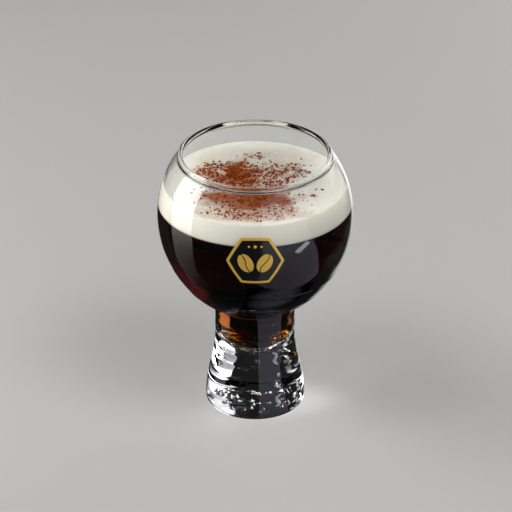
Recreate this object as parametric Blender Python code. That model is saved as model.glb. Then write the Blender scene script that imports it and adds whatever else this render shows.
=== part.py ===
"""Spanish coffee in a footed balloon glass: dark coffee, a floated layer of cream and grated cocoa on it.

Units are metres, +Z is up, and the origin is the centre of the foot's underside.
"""

import math
import random

import bmesh
import bpy
from mathutils import Matrix, Vector

MM = 0.001

# Glass, outside
BOWL_RADIUS = 47.5 * MM
BOWL_WAIST_Z = 103.4 * MM  # height of the bowl's widest level
BOWL_RISE = 48.9 * MM  # outer half-axis above the widest level
BOWL_DROP = 53.6 * MM  # outer half-axis below it
NECK_RADIUS = 19.7 * MM
NECK_FILLET = 1.6 * MM
FLARE_TOP_Z = 38.0 * MM
FLARE_END_Z = 3.5 * MM
FOOT_RADIUS = 24.45 * MM
BASE_RADIUS = 22.6 * MM
PUNT_RADIUS = 17.0 * MM
PUNT_DEPTH = 1.8 * MM

# Glass, wall and inside
WALL = 1.6 * MM
BOTTOM_WALL = 3.0 * MM
LIP_Z = 134.0 * MM  # height of the rounded lip's centre line
LIP_BEAD_RADIUS = 1.2 * MM
RECESS_RADIUS = 15.5 * MM  # the well that runs down into the neck
RECESS_FILLET = 1.8 * MM
RECESS_SHOULDER_Z = 46.5 * MM  # where the well's wall turns into its round bottom
RECESS_BOTTOM_Z = 29.4 * MM
INNER_RADIUS = BOWL_RADIUS - WALL
INNER_RISE = BOWL_RISE - WALL
INNER_DROP = BOWL_DROP - BOTTOM_WALL

# Drink
CLEARANCE = 0.3 * MM
COFFEE_TOP_Z = 108.25 * MM
CREAM_TOP_Z = 118.9 * MM
MENISCUS_RISE = 0.8 * MM
MENISCUS_REACH = 2.6 * MM

# Cocoa flakes on the cream
FLAKE_COUNT = 128
FLAKE_SEED = 7
FLAKE_HALF_LENGTH = (0.62 * MM, 1.25 * MM)
FLAKE_SLIMNESS = (0.42, 0.75)  # half width over half length
FLAKE_HALF_HEIGHT = (0.28 * MM, 0.46 * MM)
FLAKE_CRAGS = (0.8, 1.15)  # how far each corner is drawn in or out
FLAKE_TILT = 0.25  # radians
FLAKE_LIFT = 0.15  # middle of a flake above the cream, as a share of its half height
FLAKE_SPACING = 1.7 * MM
DUSTING_LIMIT = 39.5 * MM  # no flake lies further out than this
SPRINKLINGS = (  # share of the flakes, centre, radius
    (0.30, Vector((-7.0 * MM, 10.0 * MM)), 15.0 * MM),
    (0.12, Vector((-19.0 * MM, 13.0 * MM)), 11.0 * MM),
    (0.28, Vector((-1.0 * MM, -17.0 * MM)), 19.0 * MM),
    (0.30, Vector((-1.0 * MM, -4.0 * MM)), 34.0 * MM),
)

SEGMENTS = 56  # sides of every turned shape
SHARP_ANGLE = math.radians(35)
MERGE_DISTANCE = 1e-6


def clear_scene():
    for obj in list(bpy.data.objects):
        bpy.data.objects.remove(obj)


def make_material(name, colour, roughness, transmission=0.0):
    material = bpy.data.materials.new(name)
    material.use_nodes = True
    shader = material.node_tree.nodes["Principled BSDF"]
    shader.inputs["Base Color"].default_value = (*colour, 1.0)
    shader.inputs["Roughness"].default_value = roughness
    shader.inputs["Metallic"].default_value = 0.0
    shader.inputs["Transmission Weight"].default_value = transmission
    return material


def steps(start, end, count):
    """count values from start to end, both included."""
    return [start + (end - start) * i / (count - 1) for i in range(count)]


def ellipse_point(radius, half_height, angle, centre_z=BOWL_WAIST_Z):
    return Vector((radius * math.cos(angle), centre_z + half_height * math.sin(angle)))


def ellipse_arc(radius, half_height, start, end, count, centre_z=BOWL_WAIST_Z):
    return [ellipse_point(radius, half_height, a, centre_z) for a in steps(start, end, count)]


def ellipse_normal(radius, half_height, angle):
    return Vector((math.cos(angle) / radius, math.sin(angle) / half_height)).normalized()


def bowl_to_wall(radius, drop, wall_radius, fillet, count):
    """The rounded corner where the bowl's lower ellipse turns into an upright wall.

    Returns the ellipse's angle at the corner and the corner's points, from the bowl down to the wall.
    """

    def centre_at(angle):
        return ellipse_point(radius, drop, angle) + ellipse_normal(radius, drop, angle) * fillet

    low, high = -math.pi / 2, 0.0
    for _ in range(60):
        middle = (low + high) / 2
        if centre_at(middle).x < wall_radius + fillet:
            low = middle
        else:
            high = middle
    centre = centre_at(low)
    to_bowl = ellipse_point(radius, drop, low) - centre
    start = math.atan2(to_bowl.y, to_bowl.x)
    corner = [
        centre + fillet * Vector((math.cos(a), math.sin(a))) for a in steps(start, math.pi, count)
    ]
    return low, corner


def angle_at_height(half_height, z):
    """The angle of a bowl ellipse at height z."""
    return math.asin((z - BOWL_WAIST_Z) / half_height)


def smoothstep(t):
    return t * t * (3 - 2 * t)


def foot_profile():
    """The foot from the middle of its underside out and up to the top of the flare."""
    punt = [
        Vector((r, PUNT_DEPTH * (1 - (r / PUNT_RADIUS) ** 2))) for r in steps(0.0, PUNT_RADIUS, 3)
    ]
    edge = ellipse_arc(
        FOOT_RADIUS - BASE_RADIUS, FLARE_END_Z, -math.pi / 2, 0.0, 4, centre_z=FLARE_END_Z
    )
    edge = [point + Vector((BASE_RADIUS, 0.0)) for point in edge]
    flare = []
    for t in steps(0.0, 1.0, 8)[1:]:
        radius = FOOT_RADIUS + (NECK_RADIUS - FOOT_RADIUS) * smoothstep(t)
        flare.append(Vector((radius, FLARE_END_Z + (FLARE_TOP_Z - FLARE_END_Z) * t)))
    return punt + edge + flare


def lip_profile():
    """The rounded lip, from the outer wall over the top to the inner wall."""
    outside = ellipse_point(BOWL_RADIUS, BOWL_RISE, angle_at_height(BOWL_RISE, LIP_Z))
    inside = ellipse_point(INNER_RADIUS, INNER_RISE, angle_at_height(INNER_RISE, LIP_Z))
    centre = (outside + inside) / 2
    outward = ellipse_normal(BOWL_RADIUS, BOWL_RISE, angle_at_height(BOWL_RISE, LIP_Z))
    along = Vector((-outward.y, outward.x))
    meet = math.acos(0.5 * WALL / LIP_BEAD_RADIUS)
    return [
        centre + LIP_BEAD_RADIUS * (math.cos(a) * outward + math.sin(a) * along)
        for a in steps(-meet, math.pi + meet, 9)
    ]


def glass_profile():
    """The glass's whole section, from the middle of its underside, over the lip, to the well's bottom."""
    corner_angle, corner = bowl_to_wall(BOWL_RADIUS, BOWL_DROP, NECK_RADIUS, NECK_FILLET, 3)
    lower_outside = ellipse_arc(BOWL_RADIUS, BOWL_DROP, corner_angle, 0.0, 10)
    lip = lip_profile()
    outside_end = angle_at_height(BOWL_RISE, lip[0].y)
    upper_outside = ellipse_arc(BOWL_RADIUS, BOWL_RISE, 0.0, outside_end, 6)
    inside_start = angle_at_height(INNER_RISE, lip[-1].y)
    upper_inside = ellipse_arc(INNER_RADIUS, INNER_RISE, inside_start, 0.0, 6)
    outside = corner[::-1] + lower_outside[1:-1] + upper_outside[:-1]
    return foot_profile() + outside + lip + upper_inside[1:-1] + cavity_profile(0.0)


def cavity_profile(inset):
    """The lower half of the hollow, from the widest level down to the well's bottom, drawn in by inset."""
    radius = INNER_RADIUS - inset
    drop = INNER_DROP - inset
    well_radius = RECESS_RADIUS - inset
    corner_angle, corner = bowl_to_wall(radius, drop, well_radius, RECESS_FILLET + inset, 3)
    bowl = ellipse_arc(radius, drop, 0.0, corner_angle, 9)
    well_depth = RECESS_SHOULDER_Z - RECESS_BOTTOM_Z - inset
    bottom = ellipse_arc(well_radius, well_depth, 0.0, -math.pi / 2, 6, centre_z=RECESS_SHOULDER_Z)
    return bowl[:-1] + corner + bottom


def wall_radius_at(z, inset):
    """Radius of the hollow above the widest level, drawn in by inset."""
    return (INNER_RADIUS - inset) * math.cos(angle_at_height(INNER_RISE - inset, z))


def coffee_profile():
    """The coffee's section, from its flat top at the wall down to the bottom of the well."""
    rim = Vector((wall_radius_at(COFFEE_TOP_Z, CLEARANCE), COFFEE_TOP_Z))
    return [rim] + cavity_profile(CLEARANCE)


def cream_profile():
    """The cream's section, from its underside at the wall up to the flat top inside the meniscus."""
    bottom_z = COFFEE_TOP_Z + CLEARANCE
    edge_z = CREAM_TOP_Z + MENISCUS_RISE
    wall = [Vector((wall_radius_at(z, CLEARANCE), z)) for z in steps(bottom_z, edge_z, 4)]
    meniscus = [
        Vector((wall[-1].x - MENISCUS_REACH * t, CREAM_TOP_Z + MENISCUS_RISE * (1 - t) ** 2))
        for t in steps(0.0, 1.0, 4)[1:]
    ]
    return wall + meniscus


def lathe(name, profile, material):
    """Turns a section (radius, height) into a closed solid; an open end off the axis gets a flat cap."""
    bm = bmesh.new()
    verts = [bm.verts.new((point.x, 0.0, point.y)) for point in profile]
    edges = [bm.edges.new(pair) for pair in zip(verts, verts[1:])]
    bmesh.ops.spin(
        bm, geom=verts + edges, cent=(0, 0, 0), axis=(0, 0, 1), angle=2 * math.pi, steps=SEGMENTS
    )
    bmesh.ops.remove_doubles(bm, verts=bm.verts, dist=MERGE_DISTANCE)
    bmesh.ops.holes_fill(bm, edges=bm.edges, sides=SEGMENTS)
    bmesh.ops.recalc_face_normals(bm, faces=bm.faces)
    mesh = bpy.data.meshes.new(name)
    bm.to_mesh(mesh)
    bm.free()
    mesh.shade_smooth()
    mesh.set_sharp_from_angle(angle=SHARP_ANGLE)
    obj = bpy.data.objects.new(name, mesh)
    obj.data.materials.append(material)
    bpy.context.scene.collection.objects.link(obj)
    return obj


def flake_places(rng):
    """Centres of the flakes: crowded left of the middle and towards the front, thin everywhere else."""
    shares = [share for share, _, _ in SPRINKLINGS]
    places = []
    while len(places) < FLAKE_COUNT:
        _, centre, reach = rng.choices(SPRINKLINGS, weights=shares)[0]
        angle = rng.uniform(0.0, 2 * math.pi)
        distance = reach * math.sqrt(rng.random())
        place = centre + distance * Vector((math.cos(angle), math.sin(angle)))
        apart = all((place - other).length > FLAKE_SPACING for other in places)
        if apart and place.length < DUSTING_LIMIT:
            places.append(place)
    return places


def make_flake(rng, place, number, collection):
    """One craggy chip of cocoa, its lower part sunk into the cream."""
    half_length = rng.uniform(*FLAKE_HALF_LENGTH)
    half_width = half_length * rng.uniform(*FLAKE_SLIMNESS)
    half_height = rng.uniform(*FLAKE_HALF_HEIGHT)
    bm = bmesh.new()
    bmesh.ops.create_icosphere(bm, subdivisions=1, radius=1.0)
    for vert in bm.verts:
        vert.co *= rng.uniform(*FLAKE_CRAGS)
    turn = Matrix.Rotation(rng.uniform(0.0, 2 * math.pi), 4, "Z")
    tilt = Matrix.Rotation(rng.uniform(-FLAKE_TILT, FLAKE_TILT), 4, "Y")
    size = Matrix.Diagonal((half_length, half_width, half_height, 1.0))
    spot = Matrix.Translation((place.x, place.y, CREAM_TOP_Z + FLAKE_LIFT * half_height))
    bm.transform(spot @ turn @ tilt @ size)
    mesh = bpy.data.meshes.new(f"flake_{number}")
    bm.to_mesh(mesh)
    bm.free()
    flake = bpy.data.objects.new(f"flake_{number}", mesh)
    collection.objects.link(flake)


def fuse_flakes(cream):
    """Joins the scattered flakes to the cream by one union."""
    rng = random.Random(FLAKE_SEED)
    flakes = bpy.data.collections.new("flakes")
    bpy.context.scene.collection.children.link(flakes)
    for number, place in enumerate(flake_places(rng)):
        make_flake(rng, place, number, flakes)
    union = cream.modifiers.new("flakes", "BOOLEAN")
    union.operation = "UNION"
    union.operand_type = "COLLECTION"
    union.collection = flakes
    union.solver = "EXACT"
    graph = bpy.context.evaluated_depsgraph_get()
    fused = bpy.data.meshes.new_from_object(cream.evaluated_get(graph), depsgraph=graph)
    cream.modifiers.clear()
    cream.data = fused
    for flake in list(flakes.objects):
        bpy.data.objects.remove(flake)
    bpy.data.collections.remove(flakes)


def main():
    clear_scene()
    glass = make_material("clear_glass", (0.96, 0.97, 0.97), 0.02, transmission=1.0)
    coffee = make_material("coffee", (0.035, 0.010, 0.006), 0.08)
    cream = make_material("cream", (0.86, 0.83, 0.75), 0.45)
    lathe("glass", glass_profile(), glass)
    lathe("coffee", coffee_profile(), coffee)
    fuse_flakes(lathe("cream", cream_profile(), cream))


main()
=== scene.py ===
"""The looks of the spanish coffee: balloon glass, dark coffee, cream and cocoa, with a small gold print.

Units are metres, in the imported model's own frame: +Z is up and -Y is the side that faces the camera.
"""

import math
import random

import bmesh
import bpy
from mathutils import Matrix, Vector, noise

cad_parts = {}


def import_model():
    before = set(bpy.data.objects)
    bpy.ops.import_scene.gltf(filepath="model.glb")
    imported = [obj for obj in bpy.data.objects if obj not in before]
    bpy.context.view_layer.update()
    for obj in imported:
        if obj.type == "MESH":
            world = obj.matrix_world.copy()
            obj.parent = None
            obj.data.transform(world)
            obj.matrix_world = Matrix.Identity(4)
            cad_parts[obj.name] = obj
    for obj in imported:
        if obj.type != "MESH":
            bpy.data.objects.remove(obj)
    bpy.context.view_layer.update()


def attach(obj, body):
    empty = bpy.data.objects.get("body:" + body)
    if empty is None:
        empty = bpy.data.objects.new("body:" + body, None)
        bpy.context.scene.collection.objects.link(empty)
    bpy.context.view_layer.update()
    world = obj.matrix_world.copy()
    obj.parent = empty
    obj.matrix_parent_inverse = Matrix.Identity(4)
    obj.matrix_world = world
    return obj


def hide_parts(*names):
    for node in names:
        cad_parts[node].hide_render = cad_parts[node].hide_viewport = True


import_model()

MM = 0.001


def mm(*values):
    """A vector given in millimetres."""
    return Vector([value * MM for value in values])


# Glass, outside
BOWL_RADIUS = 47.5 * MM
BOWL_WAIST_Z = 103.4 * MM  # height of the bowl's widest level
BOWL_RISE = 48.9 * MM  # outer half-axis above the widest level
BOWL_DROP = 53.6 * MM  # outer half-axis below it
NECK_RADIUS = 19.7 * MM
NECK_FILLET = 1.6 * MM
FLARE_TOP_Z = 38.0 * MM
FLARE_END_Z = 3.5 * MM
FOOT_RADIUS = 24.45 * MM
BASE_RADIUS = 22.6 * MM
PUNT_RADIUS = 17.0 * MM
PUNT_DEPTH = 1.8 * MM
GLASS_INSET = 0.05 * MM  # the bowl's outside is drawn in by this, so that the print stays inside the box

# Glass, wall and inside
WALL = 1.6 * MM
BOTTOM_WALL = 3.0 * MM
LIP_Z = 133.7 * MM  # height of the rounded lip's centre line
LIP_BEAD_RADIUS = 1.48 * MM
RECESS_RADIUS = 15.5 * MM  # the well that runs down into the neck
RECESS_FILLET = 1.8 * MM
RECESS_SHOULDER_Z = 46.5 * MM  # where the well's wall turns into its round bottom
RECESS_BOTTOM_Z = 29.4 * MM
INNER_RADIUS = BOWL_RADIUS - WALL
INNER_RISE = BOWL_RISE - WALL
INNER_DROP = BOWL_DROP - BOTTOM_WALL

# Marks that the mould left: ripples round neck and foot, slow waves and two thin rings on the lower bowl
RIPPLE_PITCH = 6.2 * MM
RIPPLE_DEPTH = 0.11 * MM
RIPPLE_TOP_Z = 54.0 * MM
RIPPLE_BOTTOM_Z = 5.0 * MM
RIPPLE_WANDER = (60.0, 1.5)  # scale of the noise that shifts a wave, and how far in radians
WAVE_PITCH = 9.0 * MM
WAVE_DEPTH = 0.10 * MM
WAVE_TOP_Z = 88.0 * MM
WAVE_WANDER = (25.0, 5.0)
WAVE_FADE = 9.0 * MM  # the waves die out over this height at the top
RELIEF_FADE = 3.0 * MM  # and everything else over this
RING_HEIGHTS = (77.0 * MM, 66.0 * MM)
RING_WIDTH = 0.55 * MM
RING_DEPTH = 0.20 * MM
RING_WANDER = 1.6 * MM
FACE_MARGIN = 0.3 * WALL  # a point this near to the bowl's outside belongs to it
NECK_MARGIN = 0.1 * MM
LEVEL_MARGIN = 0.01 * MM

# Dots moulded under the foot
DOT_COUNT = 40
DOT_SEED = 5
DOT_REACH = 13.5 * MM
DOT_SIZE = (0.7 * MM, 1.4 * MM)
DOT_DEPTH = 1.0 * MM

# Light bends at the wet wall by the ratio of the two, and at the coffee's own side not at all
GLASS_IOR = 1.52
COFFEE_IOR = 1.34
WET_TOP_Z = 114.0 * MM  # anywhere behind the cream

# Drink
CREAM_TOP_Z = 118.9 * MM
CREAM_BOTTOM_Z = 108.4 * MM
COFFEE_TOP_Z = 108.7 * MM  # just inside the cream
COFFEE_REACH = 0.05 * MM  # how far the coffee reaches into the wall
CREAM_REACH = 0.08 * MM
MENISCUS_RISE = 0.8 * MM
MENISCUS_REACH = 2.6 * MM
CREAM_SLOPE = 0.010  # the cream's top lies a little lower at the front
CREAM_CALM_RADIUS = 42.0 * MM  # outside this the cream's top is even
CREAM_CALM_FADE = 6.0 * MM
CREAM_SWELLS = ((0.16 * MM, 55.0, 0.3), (0.05 * MM, 400.0, 0.7))  # height, noise scale, slice of the noise

# Bubbles in the cream, most of them along its raised edge
BUBBLE_COUNT = 110
BUBBLE_SEED = 11
BUBBLE_SIZE = (0.12, 0.32)  # millimetres
BUBBLE_GAP = 0.35 * MM  # from the wall
BUBBLE_SPREADS = (0.5, 0.9, 3.0)  # reach inwards, as a share of the raised edge's

# Larger cocoa flakes, the same ones as the relief of the cream's solid
FLAKE_COUNT = 128
FLAKE_SEED = 7
FLAKE_HALF_LENGTH = (0.62 * MM, 1.25 * MM)
FLAKE_SLIMNESS = (0.42, 0.75)  # half width over half length
FLAKE_HALF_HEIGHT = (0.28 * MM, 0.46 * MM)
FLAKE_CRAGS = (0.8, 1.15)  # how far each corner is drawn in or out
FLAKE_TILT = 0.25  # radians
FLAKE_LIFT = 0.15  # middle of a flake above the cream, as a share of its half height
FLAKE_SPACING = 1.7 * MM
DUSTING_LIMIT = 39.5 * MM  # no cocoa lies further out than this
SPRINKLINGS = (  # share of the flakes, centre, radius
    (0.30, mm(-7, 10), 15.0 * MM),
    (0.12, mm(-19, 13), 11.0 * MM),
    (0.28, mm(-1, -17), 19.0 * MM),
    (0.30, mm(-1, -4), 34.0 * MM),
)

# Finer cocoa
CRUMBS = dict(seed=21, count=1400, half_lengths=(0.28 * MM, 0.80 * MM), flatness=0.55, clump_scale=220.0)
GRAINS = dict(seed=34, count=6500, half_lengths=(0.09 * MM, 0.24 * MM), flatness=0.7, clump_scale=160.0)
BIT_SLIMNESS = (0.4, 0.9)
BIT_CRAGS = (0.65, 1.25)
BIT_TILT = 0.5
BIT_LIFT = 0.3
CLUMP_LIMIT = 0.12  # bits are left out where the clumps' noise is under this less a random part of the leeway
CLUMP_LEEWAY = 0.5
SCATTER_POWER = 0.6  # 0.5 spreads a dusting evenly, and more than that crowds its middle
SCATTER_FRAY = (0.75, 1.25)
DUSTINGS = (  # share of the bits, centre, and reach across and front to back
    (0.23, mm(-7, 9.5), mm(9, 14)),
    (0.13, mm(-19.5, 11), mm(11, 10)),
    (0.04, mm(-16.5, 3), mm(8, 6)),
    (0.12, mm(10, 8), mm(11, 12)),
    (0.03, mm(21, 13), mm(7, 8)),
    (0.018, mm(2, 29), mm(8, 3.5)),
    (0.07, mm(-1, -4), mm(15, 6)),
    (0.07, mm(-3, -16.5), mm(22, 9)),
    (0.10, mm(-2.5, -31), mm(26, 8)),
    (0.005, mm(28, -13), mm(1.6, 1.4)),
    (0.06, mm(-1, -4), mm(30, 32)),
)

# Cocoa that has bled into the cream's top, and a painted shade over the back of the top (the first entry)
COCOA_STAINS_AND_SHADE = (  # darker and lighter colour, strength, evenness, centre, reach across and front to back
    # painted shade: the back of the cream's top drawn darker and greyer, standing in for less light there
    ((0.62, 0.550, 0.440), (0.72, 0.65, 0.530), 0.55, 1.0, mm(2, 27), mm(36, 11)),
    ((0.23, 0.034, 0.003), (0.94, 0.46, 0.180), 1.00, 0.8, mm(-7, 9.5), mm(9.5, 15)),
    ((0.42, 0.100, 0.020), (0.90, 0.54, 0.270), 0.60, 0.0, mm(-19.5, 10), mm(12.5, 11.5)),
    ((0.36, 0.085, 0.018), (0.88, 0.54, 0.280), 0.30, 0.0, mm(11, 7), mm(13, 15)),
    ((0.38, 0.170, 0.080), (0.70, 0.48, 0.310), 0.86, 0.3, mm(-2, -30), mm(27, 10.5)),
    ((0.29, 0.046, 0.003), (0.48, 0.105, 0.012), 1.00, 0.7, mm(-4, -15.5), mm(24, 11.5)),
    ((0.20, 0.024, 0.001), (0.32, 0.052, 0.004), 0.55, 0.8, mm(6, -17), mm(13, 7.5)),
)
STAIN_AND_SHADE_FADE = (0.7, 1.12)  # a stain or the painted shade is whole up to the first share of its reach, and gone at the second
STAIN_AND_SHADE_DEPTHS = (0.5 * MM, 0.25 * MM)  # below the cream's top: where stains and the painted shade begin, and where they are whole

# Print on the bowl's front: a dark hexagon with a gold border, two coffee beans and three dots
PRINT_Z = 101.3 * MM
PRINT_RADIUS = 14.2 * MM
PRINT_LIFT = 0.045 * MM
PRINT_THICKNESS = 0.03 * MM
FIELD_SINK = 0.012 * MM  # the dark field lies this much lower than the gold
FIELD_RINGS = (0.97, 0.002, 20)  # outer and inner size against the hexagon's, and how many
BORDER_RINGS = (1.0, 0.895, 5)
HEXAGON_SIDES = 96
HEXAGON_ROUNDING = 0.14  # 0 is a sharp hexagon and 1 a circle
HEXAGON_CIRCLE = 0.93  # that circle's radius against the hexagon's
BEAN_PLACE = (4.6 * MM, -0.9 * MM)
BEAN_TILT = 0.45  # radians
BEAN_HALF_WIDTH = 3.5 * MM
BEAN_HALF_LENGTH = 5.3 * MM
BEAN_ROWS = (-0.97, 0.97, 26)
BEAN_SLIT = (0.16, 0.075)  # sway and half width of the slit, as shares of the bean's half width
DOT_ROWS = (-0.96, 0.96, 12)
PRINT_COLUMNS = 8
PRINT_DOTS = ((-3.0 * MM, 0.55 * MM), (0.0, 0.8 * MM), (3.0 * MM, 0.55 * MM))  # place across, radius
PRINT_DOTS_UP = 8.0 * MM

# How many sides a turned shape has, and how many points each stretch of its section
SEGMENTS = 192
PUNT_POINTS = 60
BASE_POINTS = 8
EDGE_POINTS = 12
FLARE_POINTS = 60
NECK_POINTS = 36
FILLET_POINTS = 12
BOWL_POINTS = 50
RING_POINTS = 19
RING_SPAN = 3 * MM  # the ring's own points reach this far up and down from it
UPPER_POINTS = 30
LIP_POINTS = 28
WELL_POINTS = 8
WELL_BOTTOM_POINTS = 26
COFFEE_WALL_POINTS = 10
COFFEE_TOP_POINTS = 12
CREAM_WALL_POINTS = 24
CREAM_BASE_POINTS = 10
MENISCUS_POINTS = 14
CREAM_TOP_POINTS = 70
BISECTIONS = 60

# Colours, most of them a darker and a lighter tone
WHITE = (1.0, 1.0, 1.0)
COOL = (0.85, 0.86, 1.0)
GLASS_TONES = ((0.985, 0.992, 0.990), (0.995, 0.998, 0.996))
GLASS_SHADOW = (0.93, 0.94, 0.94)
COFFEE_TONES = ((0.97, 0.95, 0.93), (1.0, 0.99, 0.98))
COFFEE_CLEARNESS = (0.876, 0.752, 0.468)  # absorption in each metre is the density times what this lacks to 1
COFFEE_DENSITY = 500.0
CREAM_TONES = ((0.82, 0.79, 0.68), (0.86, 0.835, 0.74))
CREAM_WET_TONE = (0.50, 0.36, 0.22)  # where it meets the coffee
BUBBLE_TONES = ((0.86, 0.83, 0.76), (0.93, 0.91, 0.86))
FLAKE_TONES = ((0.070, 0.006, 0.001), (0.42, 0.10, 0.020))
CRUMB_TONES = ((0.080, 0.006, 0.001), (0.50, 0.085, 0.010))
GRAIN_TONES = ((0.14, 0.020, 0.003), (0.52, 0.145, 0.032))
GOLD_TONES = ((0.90, 0.54, 0.070), (0.98, 0.66, 0.12))
DARK_PRINT_TONES = ((0.006, 0.006, 0.008), (0.014, 0.013, 0.013))
FLOOR_TONES = ((0.76, 0.75, 0.73), (0.80, 0.79, 0.77))
ROOM_COLOUR = (0.94, 0.96, 1.0)
NOISE_SPAN = (0.3, 0.7)  # most of a noise texture's values lie between these

# Floor and room. Light that comes through the glass doesn't see the floor out to the table's radius
FLOOR_Z = -0.1 * MM  # a hair below the foot, so that no light crosses from one into the other
TABLE_RADIUS = 260 * MM
FLOOR_RADIUS = 8.0
FLOOR_SIDES = 72
ROOM_BEHIND = 0.42  # the room's brightness to the camera, in reflections, and through the glass
ROOM_AROUND = 0.025
ROOM_THROUGH_GLASS = 0.010

# Lamps, by azimuth and elevation in degrees from the bowl's middle: 0 is the camera's side and 90 the right
PANELS = (  # name, azimuths, elevations, distance, radiance, colour, whether light through the glass sees it
    ("left_strip", (-116, -78), (-5, 38), 0.9, 4.6, WHITE, True),
    ("right_window", (8, 82), (3, 42), 0.9, 0.95, (0.92, 0.94, 1.0), True),
    ("back_right", (124, 160), (-4, 27), 1.0, 2.8, WHITE, False),
)
OVERHEADS = (("front_top_left", -58, 3.9), ("front_top_right", 46, 4.3))  # name, azimuth, radiance
OVERHEAD_ELEVATION = 57
OVERHEAD_DISTANCE = 1.3
OVERHEAD_SIZE = (0.55, 0.42)

# What the glass mirrors: glowing cards that only reflections see, standing in for the lamps and, below the
# horizon, painted reflections of them as a glossy table would give, though the floor is matte and hidden from
# reflections
CARD_COLUMNS = 24
MIRRORED_CARDS = (  # name, distance, colour, softness and stops, as arc_card takes them
    ("left_strip_shine", 0.95, WHITE, None, (
        (-63, -142, -104, 0.02), (-54, -134, -90, 0.06), (-45, -121, -86, 0.18),
        (-38, -118, -82, 0.26), (-30, -113, -79, 0.50), (-23, -111, -76, 0.95),
        (-17, -110, -76, 1.6), (-12, -110, -76, 3.2), (-6, -109, -76, 4.4),
        (34, -109, -76, 4.4),
    )),
    ("right_window_shine", 0.95, COOL, None, (
        (-66, 20, 80, 0.33), (-57, 1, 96, 0.36), (-48, 5, 102, 0.42),
        (-39, 8, 87, 0.52), (-30, 8, 78, 0.62), (-19, 8, 69, 0.78),
        (0, 8, 60, 0.85), (18, 8, 60, 0.85), (22, 10, 58, 0.30),
    )),
    ("right_window_patch", 0.94, COOL, None, (
        (-27, 51, 53, 4.6), (-24, 45, 57, 5.2), (-19, 54, 64, 6.0),
        (-17, 58, 60, 6.0),
    )),
    ("back_right_shine", 0.98, WHITE, (6.0, 6.0), ((-4, 147, 168, 2.6), (33, 147, 168, 2.6))),
    ("back_right_mirrored", 0.98, WHITE, (5.0, 5.0), (
        (-45, 150, 176, 0.3), (-38, 150, 176, 0.6), (-30, 150, 176, 0.7),
        (-25, 151, 176, 1.1), (-18, 152, 176, 1.6), (-6, 152, 174, 1.8),
    )),
)
WINDOW_BELOW_PLACE = (0.75, -0.2)  # a painted reflection of the window, as if deep in a glossy table
WINDOW_BELOW_REACH = 1.1
WINDOW_BELOW_Z = -2.8
WINDOW_BELOW_STRENGTH = 0.27

# What shows through the glass and the drink, in the same way: glowing cards that only light through the glass
# sees, painted images of the lamps and, below the horizon, of their reflections in a glossy table
THROUGH_DISTANCE = 3.0
THROUGH_COLOUR = (0.96, 0.95, 1.0)
THROUGH_CARDS = (  # name, softness and stops
    ("through_right_low", None, (
        (-53, 112, 152, 0.40), (-44, 112, 152, 0.60), (-42, 110, 152, 2.2),
        (-38, 112, 153, 2.2), (-35, 124, 154, 2.2), (-31, 134, 156, 2.2),
        (-28, 141, 156, 2.2), (-24, 143, 154, 2.0), (-19, 138, 154, 1.4),
        (-17, 134, 154, 1.0),
    )),
    ("through_right", (36.0, 4.0), (
        (-16, 113, 158, 1.1), (0, 113, 158, 1.1), (4, 113, 158, 3.4),
        (24, 113, 158, 3.4), (27, 113, 158, 0.9), (35, 113, 158, 0.8),
    )),
    ("through_right_high", (4.0, 4.0), ((36, 113, 155, 0.8), (50, 113, 155, 1.2), (53, 113, 155, 1.2))),
    ("through_left", (6.0, 6.0), (
        (-46, -141, -125, 0.12), (-41, -141, -125, 0.22), (-37, -141, -125, 1.1),
        (-22, -141, -125, 1.1),
    )),
    ("through_far_left", (4.0, 4.0), ((20, -138, -125, 0.6), (40, -138, -125, 0.6))),
    ("through_strip", (4.0, 4.0), ((-45, -116, -78, 0.25), (-8, -116, -78, 1.2))),
    ("through_front_right", (5.0, 5.0), ((38, 30, 52, 2.5), (54, 30, 52, 2.5))),
    ("through_front_left", (5.0, 5.0), ((38, -52, -30, 1.6), (52, -52, -30, 1.6))),
    ("through_top", (8.0, 8.0), ((62, -72, -18, 3.0), (77, -72, -18, 3.0))),
)

# Camera and photo frame
CAMERA_ELEVATION = math.radians(27.7)
CAMERA_DISTANCE = 1.940
CAMERA_CLIP = (0.05, 50.0)
SENSOR_MILLIMETRES = 36.0
FOCAL_PIXELS = 4000.0
PHOTO_SIZE = 512.0
WAIST_PIXEL = Vector((255.2, 211.7))  # where the bowl's middle lies in the photo


def steps(start, end, count):
    """count values from start to end, both included."""
    return [start + (end - start) * i / (count - 1) for i in range(count)]


def smoothstep(t):
    t = min(max(t, 0.0), 1.0)
    return t * t * (3 - 2 * t)


def ellipse_point(radius, half_height, angle, centre_z=BOWL_WAIST_Z):
    return Vector((radius * math.cos(angle), centre_z + half_height * math.sin(angle)))


def ellipse_arc(radius, half_height, start, end, count, centre_z=BOWL_WAIST_Z):
    return [ellipse_point(radius, half_height, a, centre_z) for a in steps(start, end, count)]


def ellipse_normal(radius, half_height, angle):
    return Vector((math.cos(angle) / radius, math.sin(angle) / half_height)).normalized()


def angle_at_height(half_height, z):
    return math.asin((z - BOWL_WAIST_Z) / half_height)


def outer_bowl_radius(z):
    half = BOWL_RISE if z > BOWL_WAIST_Z else BOWL_DROP
    return (BOWL_RADIUS - GLASS_INSET) * math.cos(angle_at_height(half, z))


def wall_radius_at(z, reach):
    """The inner wall's radius above the widest level, let out by reach."""
    return (INNER_RADIUS + reach) * math.cos(angle_at_height(INNER_RISE + reach, z))


# Sections of the turned shapes, as points of radius and height


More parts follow.
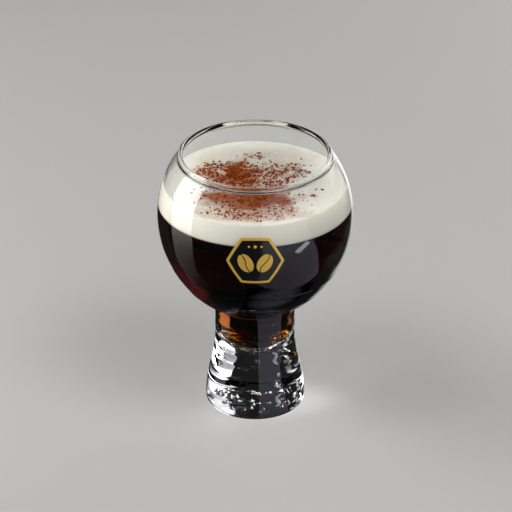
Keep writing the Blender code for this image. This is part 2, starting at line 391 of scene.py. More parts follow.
def bowl_to_wall(radius, drop, wall_radius, fillet):
    """The rounded corner where the bowl's lower ellipse turns into an upright wall.

    Returns the ellipse's angle at the corner and the corner's points, from the bowl down to the wall.
    """

    def centre_at(angle):
        return ellipse_point(radius, drop, angle) + ellipse_normal(radius, drop, angle) * fillet

    low, high = -math.pi / 2, 0.0
    for _ in range(BISECTIONS):
        middle = (low + high) / 2
        if centre_at(middle).x < wall_radius + fillet:
            low = middle
        else:
            high = middle
    centre = centre_at(low)
    to_bowl = ellipse_point(radius, drop, low) - centre
    angles = steps(math.atan2(to_bowl.y, to_bowl.x), math.pi, FILLET_POINTS)
    return low, [centre + fillet * Vector((math.cos(a), math.sin(a))) for a in angles]


def foot_profile():
    """The foot, from the middle of its underside up to the neck."""
    punt = [
        Vector((r, PUNT_DEPTH * (1 - (r / PUNT_RADIUS) ** 2)))
        for r in steps(0.0, PUNT_RADIUS, PUNT_POINTS)
    ]
    ring = [Vector((r, 0.0)) for r in steps(PUNT_RADIUS, BASE_RADIUS, BASE_POINTS)]
    width = FOOT_RADIUS - BASE_RADIUS
    edge = ellipse_arc(width, FLARE_END_Z, -math.pi / 2, 0.0, EDGE_POINTS, centre_z=FLARE_END_Z)
    edge = [point + Vector((BASE_RADIUS, 0.0)) for point in edge]
    flare = []
    for t in steps(0.0, 1.0, FLARE_POINTS):
        radius = FOOT_RADIUS + (NECK_RADIUS - FOOT_RADIUS) * smoothstep(t)
        flare.append(Vector((radius, FLARE_END_Z + (FLARE_TOP_Z - FLARE_END_Z) * t)))
    return punt + ring[1:] + edge[1:] + flare[1:]


def lip_profile(outer_radius):
    """The rounded lip, from the outer wall over the top to the inner wall."""
    outside = ellipse_point(outer_radius, BOWL_RISE, angle_at_height(BOWL_RISE, LIP_Z))
    inside = ellipse_point(INNER_RADIUS, INNER_RISE, angle_at_height(INNER_RISE, LIP_Z))
    centre = (outside + inside) / 2
    outward = ellipse_normal(outer_radius, BOWL_RISE, angle_at_height(BOWL_RISE, LIP_Z))
    along = Vector((-outward.y, outward.x))
    meet = math.acos(0.5 * WALL / LIP_BEAD_RADIUS)
    return [
        centre + LIP_BEAD_RADIUS * (math.cos(a) * outward + math.sin(a) * along)
        for a in steps(-meet, math.pi + meet, LIP_POINTS)
    ]


def cavity_profile(reach):
    """The lower half of the hollow, from the widest level down to the well's bottom, let out by reach."""
    radius = INNER_RADIUS + reach
    drop = INNER_DROP + reach
    well_radius = RECESS_RADIUS + reach
    corner_angle, corner = bowl_to_wall(radius, drop, well_radius, RECESS_FILLET - reach)
    bowl = ellipse_arc(radius, drop, 0.0, corner_angle, BOWL_POINTS)
    heights = steps(corner[-1].y, RECESS_SHOULDER_Z, WELL_POINTS)
    wall = [Vector((well_radius, z)) for z in heights]
    depth = RECESS_SHOULDER_Z - RECESS_BOTTOM_Z + reach
    bottom = ellipse_arc(
        well_radius, depth, 0.0, -math.pi / 2, WELL_BOTTOM_POINTS, centre_z=RECESS_SHOULDER_Z
    )
    return bowl[:-1] + corner + wall[1:] + bottom[1:]


def glass_profile():
    """The glass's whole section, from the middle of its underside, over the lip, to the well's bottom."""
    outer_radius = BOWL_RADIUS - GLASS_INSET
    corner_angle, corner = bowl_to_wall(outer_radius, BOWL_DROP, NECK_RADIUS, NECK_FILLET)
    foot = foot_profile()
    neck = [Vector((NECK_RADIUS, z)) for z in steps(foot[-1].y, corner[-1].y, NECK_POINTS)]
    angles = steps(corner_angle, 0.0, BOWL_POINTS)[1:-1]
    for height in RING_HEIGHTS:
        heights = steps(height - RING_SPAN, height + RING_SPAN, RING_POINTS)
        angles += [angle_at_height(BOWL_DROP, z) for z in heights]
    lower_outside = [ellipse_point(outer_radius, BOWL_DROP, a) for a in sorted(angles)]
    lip = lip_profile(outer_radius)
    outside_end = angle_at_height(BOWL_RISE, lip[0].y)
    upper_outside = ellipse_arc(outer_radius, BOWL_RISE, 0.0, outside_end, UPPER_POINTS)
    inside_start = angle_at_height(INNER_RISE, lip[-1].y)
    upper_inside = ellipse_arc(INNER_RADIUS, INNER_RISE, inside_start, 0.0, UPPER_POINTS)
    outside = neck[1:-1] + corner[::-1] + lower_outside + upper_outside[:-1]
    return foot + outside + lip + upper_inside[1:-1] + cavity_profile(0.0)


def coffee_profile():
    """The coffee's section, from the middle of the well's bottom, up the wall, to the middle of its top."""
    heights = steps(BOWL_WAIST_Z, COFFEE_TOP_Z, COFFEE_WALL_POINTS)
    wall = [Vector((wall_radius_at(z, COFFEE_REACH), z)) for z in heights]
    top = [Vector((r, COFFEE_TOP_Z)) for r in steps(wall[-1].x, 0.0, COFFEE_TOP_POINTS)]
    return cavity_profile(COFFEE_REACH)[::-1] + wall[1:] + top[1:]


def cream_profile():
    """The cream's section, from its underside's middle, up the wall, over its raised edge, to the middle."""
    heights = steps(CREAM_BOTTOM_Z, CREAM_TOP_Z + MENISCUS_RISE, CREAM_WALL_POINTS)
    wall = [Vector((wall_radius_at(z, CREAM_REACH), z)) for z in heights]
    underside = [Vector((r, CREAM_BOTTOM_Z)) for r in steps(0.0, wall[0].x, CREAM_BASE_POINTS)]
    meniscus = [
        Vector((wall[-1].x - MENISCUS_REACH * t, CREAM_TOP_Z + MENISCUS_RISE * (1 - t) ** 2))
        for t in steps(0.0, 1.0, MENISCUS_POINTS)
    ]
    top = [Vector((r, CREAM_TOP_Z)) for r in steps(meniscus[-1].x, 0.0, CREAM_TOP_POINTS)]
    return underside[:-1] + wall[:-1] + meniscus[:-1] + top


# Meshes


def add_mesh(name, verts, faces, material):
    mesh = bpy.data.meshes.new(name)
    mesh.from_pydata(verts, [], faces)
    mesh.materials.append(material)
    obj = bpy.data.objects.new(name, mesh)
    bpy.context.scene.collection.objects.link(obj)
    return obj


def turned(name, profile, material, shape=None):
    """A closed solid turned from a section that runs from the axis below to the axis above.

    shape moves each point.
    """
    turns = [(math.cos(a), math.sin(a)) for a in steps(0.0, 2 * math.pi, SEGMENTS + 1)[:-1]]
    verts = [Vector((0.0, 0.0, profile[0].y))]
    for point in profile[1:-1]:
        verts += [Vector((point.x * c, point.x * s, point.y)) for c, s in turns]
    verts.append(Vector((0.0, 0.0, profile[-1].y)))
    last = len(verts) - 1
    top = last - SEGMENTS
    pairs = [(j, (j + 1) % SEGMENTS) for j in range(SEGMENTS)]
    faces = [(0, 1 + k, 1 + j) for j, k in pairs]
    for low in range(1, top, SEGMENTS):
        high = low + SEGMENTS
        faces += [(low + j, low + k, high + k, high + j) for j, k in pairs]
    faces += [(top + j, top + k, last) for j, k in pairs]
    if shape is not None:
        verts = [shape(co) for co in verts]
    obj = add_mesh(name, verts, faces, material)
    obj.data.shade_smooth()
    return obj


def ball(subdivisions):
    """The corners and faces of an icosphere of radius 1."""
    bm = bmesh.new()
    bmesh.ops.create_icosphere(bm, subdivisions=subdivisions, radius=1.0)
    corners = [vert.co.copy() for vert in bm.verts]
    faces = [tuple(vert.index for vert in face.verts) for face in bm.faces]
    bm.free()
    return corners, faces


def joined(parts):
    """The corners and faces of many small closed shapes, as one."""
    verts, faces = [], []
    for corners, corner_faces in parts:
        base = len(verts)
        verts += corners
        faces += [tuple(base + i for i in face) for face in corner_faces]
    return verts, faces


def rides(piece, slot, *nodes):
    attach(piece, "root")
    if nodes:
        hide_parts(*nodes)


# Materials


class Nodes:
    """A material's node tree with short calls to add nodes and links."""

    def __init__(self, name):
        self.material = bpy.data.materials.new(name)
        self.material.use_nodes = True
        self.tree = self.material.node_tree
        self.shader = self.tree.nodes["Principled BSDF"]
        self.output = self.tree.nodes["Material Output"]
        self.place = self.add("ShaderNodeTexCoord").outputs["Object"]

    def add(self, kind, **settings):
        node = self.tree.nodes.new(kind)
        for key, value in settings.items():
            setattr(node, key, value)
        return node

    def link(self, source, target):
        self.tree.links.new(source, target)

    def set(self, **values):
        """Sets the Principled shader's own sockets; an underscore in a name stands for a blank."""
        for key, value in values.items():
            self.shader.inputs[key.replace("_", " ")].default_value = value

    def feed(self, **sources):
        """Links sources to the Principled shader's sockets, named in the same way."""
        for key, source in sources.items():
            self.link(source, self.shader.inputs[key.replace("_", " ")])

    def noise(self, scale, detail=2.0, roughness=0.5):
        node = self.add("ShaderNodeTexNoise")
        node.inputs["Scale"].default_value = scale
        node.inputs["Detail"].default_value = detail
        node.inputs["Roughness"].default_value = roughness
        self.link(self.place, node.inputs["Vector"])
        return node.outputs["Fac"]

    def remap(self, value, span, result):
        """Carries the ends of one span over to the ends of the other."""
        node = self.add("ShaderNodeMapRange")
        for name, number in zip(("From Min", "From Max", "To Min", "To Max"), (*span, *result)):
            node.inputs[name].default_value = number
        self.link(value, node.inputs["Value"])
        return node.outputs["Result"]

    def blend(self, factor, first, second):
        """A colour mix; first and second are colours or sockets."""
        node = self.add("ShaderNodeMix", data_type="RGBA")
        self.link(factor, node.inputs["Factor"])
        for name, value in (("A", first), ("B", second)):
            socket = next(s for s in node.inputs if s.name == name and s.type == "RGBA")
            if isinstance(value, tuple):
                socket.default_value = (*value, 1.0)
            else:
                self.link(value, socket)
        return next(s for s in node.outputs if s.type == "RGBA")

    def math(self, operation, first, second):
        node = self.add("ShaderNodeMath", operation=operation)
        for socket, value in zip(node.inputs, (first, second)):
            if isinstance(value, (int, float)):
                socket.default_value = value
            else:
                self.link(value, socket)
        return node.outputs["Value"]

    def coordinates(self):
        """The three coordinates of a place."""
        separate = self.add("ShaderNodeSeparateXYZ")
        self.link(self.place, separate.inputs["Vector"])
        return separate.outputs

    def distance_from(self, centre, reach):
        """How far a place is from a centre, as a share of the reach in x, y and z."""
        local = self.add("ShaderNodeMapping", vector_type="TEXTURE")
        local.inputs["Location"].default_value = centre
        local.inputs["Scale"].default_value = reach
        self.link(self.place, local.inputs["Vector"])
        length = self.add("ShaderNodeVectorMath", operation="LENGTH")
        self.link(local.outputs["Vector"], length.inputs[0])
        return length.outputs["Value"]

    def bump(self, height, strength, distance):
        node = self.add("ShaderNodeBump")
        node.inputs["Strength"].default_value = strength
        node.inputs["Distance"].default_value = distance
        self.link(height, node.inputs["Height"])
        self.link(node.outputs["Normal"], self.shader.inputs["Normal"])


def glass_material(name, ior):
    """Clear soda glass with faint waviness and a trace of smudge. Lamps shine through it."""
    m = Nodes(name)
    m.set(IOR=ior, Transmission_Weight=1.0)
    smudge = m.remap(m.noise(scale=60.0, detail=4.0), (0.55, 0.8), (0.0, 0.035))
    m.feed(Base_Color=m.blend(m.noise(scale=14.0), *GLASS_TONES), Roughness=smudge)
    m.bump(m.noise(scale=45.0, detail=1.0), strength=0.25, distance=0.4 * MM)
    clear = m.add("ShaderNodeBsdfTransparent")
    clear.inputs["Color"].default_value = (*GLASS_SHADOW, 1.0)
    mix = m.add("ShaderNodeMixShader")
    m.link(m.add("ShaderNodeLightPath").outputs["Is Shadow Ray"], mix.inputs["Fac"])
    m.link(m.shader.outputs["BSDF"], mix.inputs[1])
    m.link(clear.outputs["BSDF"], mix.inputs[2])
    m.link(mix.outputs["Shader"], m.output.inputs["Surface"])
    return m.material


def coffee_material():
    """Clear dark coffee: amber where it is a centimetre thick, red at twice that, then nearly black."""
    m = Nodes("coffee")
    m.set(IOR=1.0, Transmission_Weight=1.0, Roughness=0.0)
    m.feed(Base_Color=m.blend(m.noise(scale=30.0, detail=3.0), *COFFEE_TONES))
    volume = m.add("ShaderNodeVolumeAbsorption")
    volume.inputs["Color"].default_value = (*COFFEE_CLEARNESS, 1.0)
    volume.inputs["Density"].default_value = COFFEE_DENSITY
    m.link(volume.outputs["Volume"], m.output.inputs["Volume"])
    return m.material


def stained_and_shaded(m, colour, height):
    """The cream's colour with the cocoa that has bled into its top, and a painted shade over the back of the
    top.
    """
    on_top = m.remap(height, [CREAM_TOP_Z - depth for depth in STAIN_AND_SHADE_DEPTHS], (0.0, 1.0))
    ragged = m.remap(m.noise(scale=130.0, detail=4.0), NOISE_SPAN, (-0.2, 0.2))
    patchy = m.remap(m.noise(scale=420.0, detail=5.0, roughness=0.65), (0.38, 0.58), (0.55, 1.0))
    speckle = m.remap(m.noise(scale=620.0, detail=4.0, roughness=0.6), (0.43, 0.57), (0.0, 1.0))
    # the first entry is a painted shade on the back of the top; the others are cocoa stains
    for dark, light, strength, evenness, centre, reach in COCOA_STAINS_AND_SHADE:
        distance = m.distance_from((*centre, CREAM_TOP_Z), (*reach, 1.0))
        here = m.remap(m.math("ADD", distance, ragged), STAIN_AND_SHADE_FADE, (strength, 0.0))
        shown = m.math("MULTIPLY", m.remap(patchy, (0.0, 1.0), (evenness, 1.0)), on_top)
        colour = m.blend(m.math("MULTIPLY", here, shown), colour, m.blend(speckle, dark, light))
    return colour


def cream_material():
    """Soft warm white foam, tan where it meets the coffee, brown under the cocoa, and with a painted shade
    over the back of its top.
    """
    m = Nodes("cream")
    m.set(Subsurface_Weight=0.35, Subsurface_Scale=1.5 * MM, Subsurface_Radius=(1.0, 0.75, 0.5), IOR=1.38)
    height = m.coordinates()["Z"]
    dusted_and_shaded = stained_and_shaded(m, m.blend(m.noise(scale=70.0, detail=4.0), *CREAM_TONES), height)
    wavy = m.math("ADD", height, m.remap(m.noise(scale=120.0), NOISE_SPAN, (-0.2 * MM, 0.2 * MM)))
    wet = m.remap(wavy, (CREAM_BOTTOM_Z + 0.1 * MM, CREAM_BOTTOM_Z + 1.1 * MM), (0.55, 0.0))
    gloss = m.remap(m.noise(scale=200.0, detail=3.0), NOISE_SPAN, (0.32, 0.5))
    m.feed(Base_Color=m.blend(wet, dusted_and_shaded, CREAM_WET_TONE), Roughness=gloss)
    m.bump(m.noise(scale=900.0, detail=4.0, roughness=0.6), strength=0.35, distance=0.12 * MM)
    return m.material


def cocoa_material(name, tones, grain_scale):
    m = Nodes(name)
    m.set(Specular_IOR_Level=0.12)
    shade = m.remap(m.noise(grain_scale, detail=3.0, roughness=0.7), NOISE_SPAN, (0.0, 1.0))
    m.feed(Base_Color=m.blend(shade, *tones), Roughness=m.remap(shade, (0.0, 1.0), (0.75, 0.5)))
    m.bump(m.noise(grain_scale * 3.0, detail=3.0), strength=0.6, distance=0.1 * MM)
    return m.material


def bubble_material():
    m = Nodes("cream_bubbles")
    m.set(IOR=1.35, Transmission_Weight=0.25)
    gloss = m.remap(m.noise(scale=500.0), NOISE_SPAN, (0.08, 0.2))
    m.feed(Base_Color=m.blend(m.noise(scale=300.0), *BUBBLE_TONES), Roughness=gloss)
    return m.material


def gold_material():
    m = Nodes("print_gold")
    m.set(Metallic=0.2)
    gloss = m.remap(m.noise(scale=900.0, detail=3.0), NOISE_SPAN, (0.30, 0.48))
    m.feed(Base_Color=m.blend(m.noise(scale=420.0, detail=4.0), *GOLD_TONES), Roughness=gloss)
    m.bump(m.noise(scale=1500.0, detail=2.0), strength=0.15, distance=0.03 * MM)
    return m.material


def dark_print_material():
    m = Nodes("print_dark")
    gloss = m.remap(m.noise(scale=800.0, detail=3.0), NOISE_SPAN, (0.08, 0.16))
    m.feed(Base_Color=m.blend(m.noise(scale=500.0, detail=4.0), *DARK_PRINT_TONES), Roughness=gloss)
    return m.material


# Relief of the glass and the cream


def fading(z, bottom, top, top_fade):
    """1 between two heights, and falling smoothly to 0 at both."""
    return smoothstep((top - z) / top_fade) * smoothstep((z - bottom) / RELIEF_FADE)


def wave(z, pitch, shift):
    return 0.5 - 0.5 * math.cos(2 * math.pi * z / pitch + shift)


def drawn_in(co, radius, depth):
    shrink = 1 - depth / radius
    return Vector((co.x * shrink, co.y * shrink, co.z))


def bowl_relief(co):
    """How deep the lower bowl's outside lies: slow waves all over, and the gaps between the thin rings."""
    fade = fading(co.z, RIPPLE_TOP_Z, WAVE_TOP_Z, WAVE_FADE)
    scale, shift = WAVE_WANDER
    wander = noise.noise(co * scale)
    rings = 0.0
    for height in RING_HEIGHTS:
        away = (co.z - height - RING_WANDER * wander) / RING_WIDTH
        rings += math.exp(-away * away)
    return WAVE_DEPTH * fade * wave(co.z, WAVE_PITCH, shift * wander) + RING_DEPTH * (fade - rings)


def foot_relief(co):
    """How deep the ripples round the neck and the foot are at a place."""
    fade = fading(co.z, RIPPLE_BOTTOM_Z, RIPPLE_TOP_Z, RELIEF_FADE)
    scale, shift = RIPPLE_WANDER
    return RIPPLE_DEPTH * fade * wave(co.z, RIPPLE_PITCH, shift * noise.noise(co * scale))


def dots_under_foot():
    """Places and sizes of the dots."""
    rng = random.Random(DOT_SEED)
    dots = []
    while len(dots) < DOT_COUNT:
        place = Vector((rng.uniform(-1.0, 1.0), rng.uniform(-1.0, 1.0)))
        if place.length < 1.0:
            dots.append((place * DOT_REACH, rng.uniform(*DOT_SIZE)))
    return dots


DOTS = dots_under_foot()


def dot_lift(co):
    """How far the dots lift the underside of the foot at a place."""
    lift = 0.0
    for place, size in DOTS:
        distance = (co.xy - place).length / size
        lift += DOT_DEPTH * max(0.0, 1 - distance ** 2) ** 2
    return lift


def glass_shape(co):
    """Moves a point of the plain glass by the relief that it has there."""
    radius = math.hypot(co.x, co.y)
    if RIPPLE_TOP_Z < co.z < WAVE_TOP_Z and radius > outer_bowl_radius(co.z) - FACE_MARGIN:
        return drawn_in(co, radius, bowl_relief(co))
    if RIPPLE_BOTTOM_Z < co.z < RIPPLE_TOP_Z and radius > NECK_RADIUS - NECK_MARGIN:
        return drawn_in(co, radius, foot_relief(co))
    if radius < PUNT_RADIUS and co.z < PUNT_DEPTH + LEVEL_MARGIN:
        return Vector((co.x, co.y, co.z + dot_lift(co)))
    return co


def cream_shape(co):
    """The cream's top, a little lower at the front and slowly uneven away from the wall."""
    if co.z < CREAM_TOP_Z - LEVEL_MARGIN:
        return co
    co = co + Vector((0.0, 0.0, CREAM_SLOPE * co.y))
    calm = smoothstep((CREAM_CALM_RADIUS - math.hypot(co.x, co.y)) / CREAM_CALM_FADE)
    lift = 0.0
    for height, scale, layer in CREAM_SWELLS:
        lift += height * noise.noise(Vector((co.x, co.y, layer)) * scale)
    return Vector((co.x, co.y, co.z + calm * lift))


# Cocoa and bubbles


def flake_places(rng, count, spacing):
    """Centres of the flakes: crowded left of the middle and towards the front, thin everywhere else."""
    shares = [share for share, _, _ in SPRINKLINGS]
    places = []
    while len(places) < count:
        _, centre, reach = rng.choices(SPRINKLINGS, weights=shares)[0]
        angle = rng.uniform(0.0, 2 * math.pi)
        distance = reach * math.sqrt(rng.random())
        place = centre + distance * Vector((math.cos(angle), math.sin(angle)))
        apart = all((place - other).length > spacing for other in places)
        if apart and place.length < DUSTING_LIMIT:
            places.append(place)
    return places


def craggy_bit(rng, template, place, size, crags, tilt_range, lift):
    """One bit of cocoa on the cream. size has its half length, width and height."""
    corners = [corner * rng.uniform(*crags) for corner in template]
    turn = Matrix.Rotation(rng.uniform(0.0, 2 * math.pi), 4, "Z")
    tilt = Matrix.Rotation(rng.uniform(-tilt_range, tilt_range), 4, "Y")
    cream_z = cream_shape(Vector((place.x, place.y, CREAM_TOP_Z))).z
    spot = Matrix.Translation((place.x, place.y, cream_z + lift * size[2]))
    matrix = spot @ turn @ tilt @ Matrix.Diagonal((*size, 1.0))
    return [matrix @ corner for corner in corners]


def main_flakes():
    """The larger flakes, drawn as the relief of the cream's solid is."""
    rng = random.Random(FLAKE_SEED)
    template, faces = ball(1)
    parts = []
    for place in flake_places(rng, FLAKE_COUNT, FLAKE_SPACING):
        half_length = rng.uniform(*FLAKE_HALF_LENGTH)
        half_width = half_length * rng.uniform(*FLAKE_SLIMNESS)
        size = (half_length, half_width, rng.uniform(*FLAKE_HALF_HEIGHT))
        bit = craggy_bit(rng, template, place, size, FLAKE_CRAGS, FLAKE_TILT, FLAKE_LIFT)
        parts.append((bit, faces))
    return joined(parts)


def scatter(seed, count, half_lengths, flatness, clump_scale):
    """Small craggy bits over the dustings, gathered into clumps."""
    rng = random.Random(seed)
    template, faces = ball(1)
    shares = [share for share, _, _ in DUSTINGS]
    parts = []
    while len(parts) < count:
        _, centre, reach = rng.choices(DUSTINGS, weights=shares)[0]
        angle = rng.uniform(0.0, 2 * math.pi)
        distance = rng.random() ** SCATTER_POWER * rng.uniform(*SCATTER_FRAY)
        place = centre + distance * Vector((reach.x * math.cos(angle), reach.y * math.sin(angle)))
        clump = noise.noise(Vector((place.x, place.y, seed)) * clump_scale)
        if place.length > DUSTING_LIMIT or clump < CLUMP_LIMIT - CLUMP_LEEWAY * rng.random():
            continue
        half = rng.uniform(*half_lengths)
        size = (half, half * rng.uniform(*BIT_SLIMNESS), half * flatness)
        bit = craggy_bit(rng, template, place, size, BIT_CRAGS, BIT_TILT, BIT_LIFT)
        parts.append((bit, faces))
    return joined(parts)


def cream_bubbles():
    """Tiny bubbles, most of them along the raised edge at the wall."""
    rng = random.Random(BUBBLE_SEED)
    template, faces = ball(2)
    edge_radius = wall_radius_at(CREAM_TOP_Z + MENISCUS_RISE, 0.0) - BUBBLE_GAP
    parts = []
    for _ in range(BUBBLE_COUNT):
        angle = rng.uniform(0.0, 2 * math.pi)
        inward = MENISCUS_REACH * rng.random() ** 0.5 * rng.choice(BUBBLE_SPREADS)
        radius = edge_radius - inward
        rise = MENISCUS_RISE * max(0.0, 1 - (inward + BUBBLE_GAP) / MENISCUS_REACH) ** 2
        size = rng.uniform(*BUBBLE_SIZE) * MM
        spot = Vector((radius * math.cos(angle), radius * math.sin(angle), CREAM_TOP_Z + rise))
        spot = cream_shape(spot)
        parts.append(([spot + size * corner for corner in template], faces))
    return joined(parts)


# Print


def on_bowl(across, up, lift):
    """The place on the bowl's front that is that far to the right of the print's middle and above it."""
    z = PRINT_Z + up
    radius = outer_bowl_radius(z) + lift
    angle = across / BOWL_RADIUS
    return Vector((radius * math.sin(angle), -radius * math.cos(angle), z))


def film(grid, closed, lift=PRINT_LIFT):
    """A thin closed film on the bowl from rows of (across, up) places; closed joins a row's ends."""
    rows, columns = len(grid), len(grid[0])
    verts = []
    for height in (lift, lift - PRINT_THICKNESS):
        verts += [on_bowl(across, up, height) for row in grid for across, up in row]
    faces = []

    def add_face(*corners):
        faces.append([(layer * rows + row) * columns + i % columns for layer, row, i in corners])

    for i in range(columns if closed else columns - 1):
        for row in range(rows - 1):
            square = [(row, i), (row, i + 1), (row + 1, i + 1), (row + 1, i)]
            add_face(*[(0, *place) for place in square])
            add_face(*[(1, *place) for place in square[::-1]])
        for row, near, far in ((0, 0, 1), (rows - 1, 1, 0)):
            add_face((near, row, i + 1), (near, row, i), (far, row, i), (far, row, i + 1))
    if not closed:
        end = columns - 1
        for row in range(rows - 1):
            add_face((0, row, 0), (0, row + 1, 0), (1, row + 1, 0), (1, row, 0))
            add_face((0, row + 1, end), (0, row, end), (1, row, end), (1, row + 1, end))
    return verts, faces


def hexagon(scale):
    """Points of a round-cornered hexagon with a flat side at the top."""
    sixth = math.pi / 3
    points = []
    for i in range(HEXAGON_SIDES):
        angle = 2 * math.pi * i / HEXAGON_SIDES
        folded = (angle + sixth / 2 - math.pi / 2) % sixth - sixth / 2
        flat = math.cos(sixth / 2) / math.cos(folded)
        share = (1 - HEXAGON_ROUNDING) * flat + HEXAGON_ROUNDING * HEXAGON_CIRCLE
        radius = PRINT_RADIUS * scale * share
        points.append((radius * math.cos(angle), radius * math.sin(angle)))
    return points


def bean_half(centre, tilt, side):
    """Half a coffee bean as rows of places, from the curved slit in its middle out to its edge."""
    sway, half_slit = BEAN_SLIT
    rows = []
    for t in steps(*BEAN_ROWS):
        slit = sway * BEAN_HALF_WIDTH * math.sin(math.pi * t) + side * half_slit * BEAN_HALF_WIDTH
        edge = side * BEAN_HALF_WIDTH * math.sqrt(1 - t * t)
        row = []
        for x in steps(slit, edge, PRINT_COLUMNS):
            y = BEAN_HALF_LENGTH * t
            across = centre[0] + x * math.cos(tilt) - y * math.sin(tilt)
            up = centre[1] + x * math.sin(tilt) + y * math.cos(tilt)
            row.append((across, up))
        rows.append(row if side > 0 else row[::-1])
    return rows


def dot(across, up, radius):
    rows = []
    for t in steps(*DOT_ROWS):
        half = radius * math.sqrt(1 - t * t)
        rows.append([(across + s * half, up + radius * t) for s in steps(-1.0, 1.0, PRINT_COLUMNS)])
    return rows


def print_field():
    rings = [hexagon(scale) for scale in steps(*FIELD_RINGS)]
    return film(rings, closed=True, lift=PRINT_LIFT - FIELD_SINK)


def print_motif():
    parts = [film([hexagon(scale) for scale in steps(*BORDER_RINGS)], closed=True)]
    across, up = BEAN_PLACE
    for bean in (-1, 1):
        for half in (-1, 1):
            rows = bean_half((bean * across, up), -bean * BEAN_TILT, half)
            parts.append(film(rows, closed=False))
    for across, radius in PRINT_DOTS:
        parts.append(film(dot(across, PRINT_DOTS_UP, radius), closed=False))
    return joined(parts)


# Object


def build_glass():
    profile = glass_profile()
    glass = turned("glass_clear", profile, glass_material("clear_glass", GLASS_IOR), glass_shape)
    wet_from = max(i for i, point in enumerate(profile) if point.y > WET_TOP_Z)
    glass.data.materials.append(glass_material("wet_glass", GLASS_IOR / COFFEE_IOR))
    for face in glass.data.polygons[wet_from * SEGMENTS:]:
        face.material_index = 1
    rides(glass, "glass", "glass")


def build_drink():
    rides(turned("coffee_drink", coffee_profile(), coffee_material()), "coffee", "coffee")
    rides(turned("cream_layer", cream_profile(), cream_material(), cream_shape), "cream", "cream")
    bubbles = add_mesh("cream_bubbles", *cream_bubbles(), bubble_material())
    bubbles.data.shade_smooth()
    rides(bubbles, "cream")


def build_cocoa():
    for name, pieces, tones, grain_scale in (
        ("cocoa_flakes", main_flakes(), FLAKE_TONES, 700.0),
        ("cocoa_crumbs", scatter(**CRUMBS), CRUMB_TONES, 500.0),
        ("cocoa_grains", scatter(**GRAINS), GRAIN_TONES, 700.0),
    ):
        rides(add_mesh(name, *pieces, cocoa_material(name, tones, grain_scale)), "cocoa")


def build_print():
    rides(add_mesh("print_field", *print_field(), dark_print_material()), "print_dark")
    rides(add_mesh("print_motif", *print_motif(), gold_material()), "print_gold")


# Stage


def towards(azimuth, elevation=0.0):
    """The direction from the bowl's middle at that azimuth and elevation, in degrees."""
    a, e = math.radians(azimuth), math.radians(elevation)
    return Vector((math.sin(a) * math.cos(e), -math.cos(a) * math.cos(e), math.sin(e)))


def level_at(distance, elevation):
    """The height over the bowl's middle that is seen at that elevation from there."""
    return distance * math.tan(math.radians(elevation))


def floor():
    """A pale floor in two parts. Light that comes through the glass doesn't see the near one."""
    m = Nodes("floor")
    m.feed(Base_Color=m.blend(m.noise(scale=6.0, detail=3.0), *FLOOR_TONES))
    m.set(Roughness=0.6)
    count = FLOOR_SIDES
    circles = []
    for radius in (TABLE_RADIUS, FLOOR_RADIUS):
        angles = [math.tau * i / count for i in range(count)]
        circles.append([(radius * math.sin(a), -radius * math.cos(a), FLOOR_Z) for a in angles])
    ring = [(i, count + i, count + (i + 1) % count, (i + 1) % count) for i in range(count)]
    near = add_mesh("floor_near", circles[0], [tuple(range(count))], m.material)
    near.visible_transmission = False
    for obj in (near, add_mesh("floor", circles[0] + circles[1], ring, m.material)):
        obj.visible_glossy = False


def soft_lamp(name, away, location, size, radiance, colour=WHITE):
    """A soft rectangular lamp that shines back along the direction away."""
    lamp = bpy.data.lights.new(name, "AREA")
    lamp.shape = "RECTANGLE"
    lamp.size, lamp.size_y = size
    lamp.energy = radiance * math.pi * size[0] * size[1]
    lamp.color = colour
    obj = bpy.data.objects.new(name, lamp)
    obj.location = location
    obj.rotation_mode = "QUATERNION"
    obj.rotation_quaternion = away.to_track_quat("Z", "Y")
    bpy.context.scene.collection.objects.link(obj)
    return obj


def panel(name, azimuths, elevations, distance, radiance, colour):
    """An upright soft lamp between two azimuths and two elevations."""
    low, high = (level_at(distance, elevation) for elevation in elevations)
    width = 2 * distance * math.tan(math.radians(azimuths[1] - azimuths[0]) / 2)
    away = towards(sum(azimuths) / 2)
    location = distance * away + Vector((0.0, 0.0, BOWL_WAIST_Z + (low + high) / 2))
    return soft_lamp(name, away, location, (width, high - low), radiance, colour)


def card(name, verts, faces, colour, glow, seen_by):
    """A glowing card that one kind of ray sees, "glossy" or "transmission". glow gives its strength."""
    m = Nodes(name)
    m.set(Specular_IOR_Level=0.0, Base_Color=(0.0, 0.0, 0.0, 1.0), Emission_Color=(*colour, 1.0))
    m.feed(Emission_Strength=glow(m))
    m.material.cycles.emission_sampling = "NONE"
    obj = add_mesh(name, verts, faces, m.material)
    for ray in ("camera", "diffuse", "glossy", "transmission", "shadow"):
        setattr(obj, "visible_" + ray, ray == seen_by)


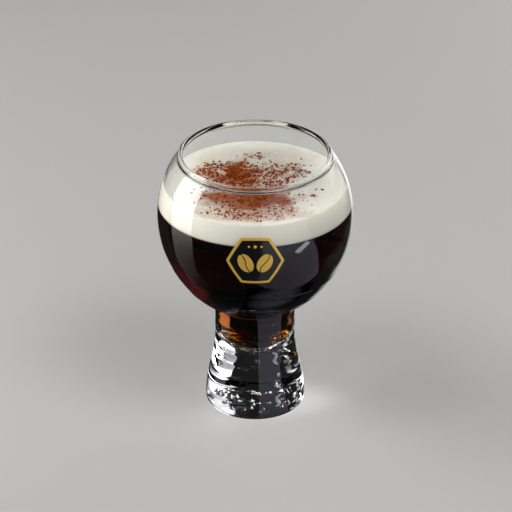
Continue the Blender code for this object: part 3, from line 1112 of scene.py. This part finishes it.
def arc_card(name, distance, colour, softness, stops, seen_by):
    """An upright glowing card round the bowl that only reflections see, or only light through the glass.

    Each stop is an elevation, the azimuths of the card's two sides there, and its strength there, from the
    lower edge to the upper one. softness holds the angles over which straight sides fade out at left and
    right, or is None.
    """
    heights = [level_at(distance, stop[0]) + BOWL_WAIST_Z for stop in stops]
    low, high = heights[0], heights[-1]
    count = CARD_COLUMNS
    verts = []
    for z, (_, left, right, _) in zip(heights, stops):
        angles = steps(math.radians(left), math.radians(right), count)
        verts += [(distance * math.sin(a), -distance * math.cos(a), z) for a in angles]
    faces = []
    for row in range(0, count * (len(stops) - 1), count):
        faces += [(row + i, row + i + 1, row + count + i + 1, row + count + i) for i in range(count - 1)]

    def glow(m):
        place = m.coordinates()
        ramp = m.add("ShaderNodeValToRGB")
        m.link(m.remap(place["Z"], (low, high), (0.0, 1.0)), ramp.inputs["Fac"])
        elements = ramp.color_ramp.elements
        while len(elements) < len(stops):
            elements.new(0.5)
        for element, height, (*_, strength) in zip(elements, heights, stops):
            element.position = (height - low) / (high - low)
            element.color = (strength, strength, strength, 1.0)
        if softness is None:
            return ramp.outputs["Color"]
        _, left, right, _ = stops[0]
        forward = m.math("MULTIPLY", place["Y"], -1.0)
        azimuth = m.math("DEGREES", m.math("ARCTAN2", place["X"], forward), 0.0)
        near = m.remap(azimuth, (left, left + softness[0]), (0.0, 1.0))
        far = m.remap(azimuth, (right - softness[1], right), (1.0, 0.0))
        return m.math("MULTIPLY", ramp.outputs["Color"], m.math("MULTIPLY", near, far))

    card(name, verts, faces, colour, glow, seen_by)


def window_below():
    """A flat glowing card far below the floor, fading out from its middle, that only reflections see."""
    x, y = WINDOW_BELOW_PLACE
    reach = WINDOW_BELOW_REACH
    square = ((-1, -1), (1, -1), (1, 1), (-1, 1))
    verts = [(x + reach * across, y + reach * along, WINDOW_BELOW_Z) for across, along in square]

    def glow(m):
        distance = m.distance_from((x, y, WINDOW_BELOW_Z), (reach, reach, 1.0))
        return m.remap(distance, (0.4, 1.0), (WINDOW_BELOW_STRENGTH, 0.0))

    card("right_window_below", verts, [(0, 1, 2, 3)], COOL, glow, "glossy")


def lights():
    for name, azimuths, elevations, distance, radiance, colour, seen_through in PANELS:
        lamp = panel(name, azimuths, elevations, distance, radiance, colour)
        lamp.visible_glossy = False
        lamp.visible_transmission = seen_through
    for name, azimuth, radiance in OVERHEADS:
        away = towards(azimuth, OVERHEAD_ELEVATION)
        location = Vector((0.0, 0.0, BOWL_WAIST_Z)) + OVERHEAD_DISTANCE * away
        soft_lamp(name, away, location, OVERHEAD_SIZE, radiance)
    for name, distance, colour, softness, stops in MIRRORED_CARDS:
        arc_card(name, distance, colour, softness, stops, "glossy")
    window_below()
    for name, softness, stops in THROUGH_CARDS:
        arc_card(name, THROUGH_DISTANCE, THROUGH_COLOUR, softness, stops, "transmission")


def world():
    """A dim room, which the camera alone sees as pale as the floor."""
    studio = bpy.data.worlds.new("studio")
    bpy.context.scene.world = studio
    studio.use_nodes = True
    tree = studio.node_tree
    background = tree.nodes["Background"]
    background.inputs["Color"].default_value = (*ROOM_COLOUR, 1.0)
    path = tree.nodes.new("ShaderNodeLightPath")
    around = tree.nodes.new("ShaderNodeMapRange")
    around.inputs["To Min"].default_value = ROOM_AROUND
    around.inputs["To Max"].default_value = ROOM_THROUGH_GLASS
    strength = tree.nodes.new("ShaderNodeMapRange")
    strength.inputs["To Max"].default_value = ROOM_BEHIND
    tree.links.new(path.outputs["Is Transmission Ray"], around.inputs["Value"])
    tree.links.new(path.outputs["Is Camera Ray"], strength.inputs["Value"])
    tree.links.new(around.outputs["Result"], strength.inputs["To Min"])
    tree.links.new(strength.outputs["Result"], background.inputs["Strength"])


def camera():
    """The photo's camera, aimed so that the bowl's middle falls where it does in the photo."""
    data = bpy.data.cameras.new("camera")
    data.sensor_width = SENSOR_MILLIMETRES
    data.lens = FOCAL_PIXELS * data.sensor_width / PHOTO_SIZE
    data.clip_start, data.clip_end = CAMERA_CLIP
    obj = bpy.data.objects.new("camera", data)
    bpy.context.scene.collection.objects.link(obj)
    ahead = Vector((0.0, math.cos(CAMERA_ELEVATION), -math.sin(CAMERA_ELEVATION)))
    up = Vector((0.0, math.sin(CAMERA_ELEVATION), math.cos(CAMERA_ELEVATION)))
    right = Vector((1.0, 0.0, 0.0))
    obj.location = Vector((0.0, 0.0, BOWL_WAIST_Z)) - CAMERA_DISTANCE * ahead
    offset = (WAIST_PIXEL - Vector((PHOTO_SIZE / 2, PHOTO_SIZE / 2))) / FOCAL_PIXELS
    aim = ahead - offset.x * right + offset.y * up
    obj.rotation_mode = "QUATERNION"
    obj.rotation_quaternion = aim.to_track_quat("-Z", "Y")
    bpy.context.scene.camera = obj


build_glass()
build_drink()
build_cocoa()
build_print()
floor()
world()
lights()
camera()
bpy.context.scene.view_settings.view_transform = "Standard"
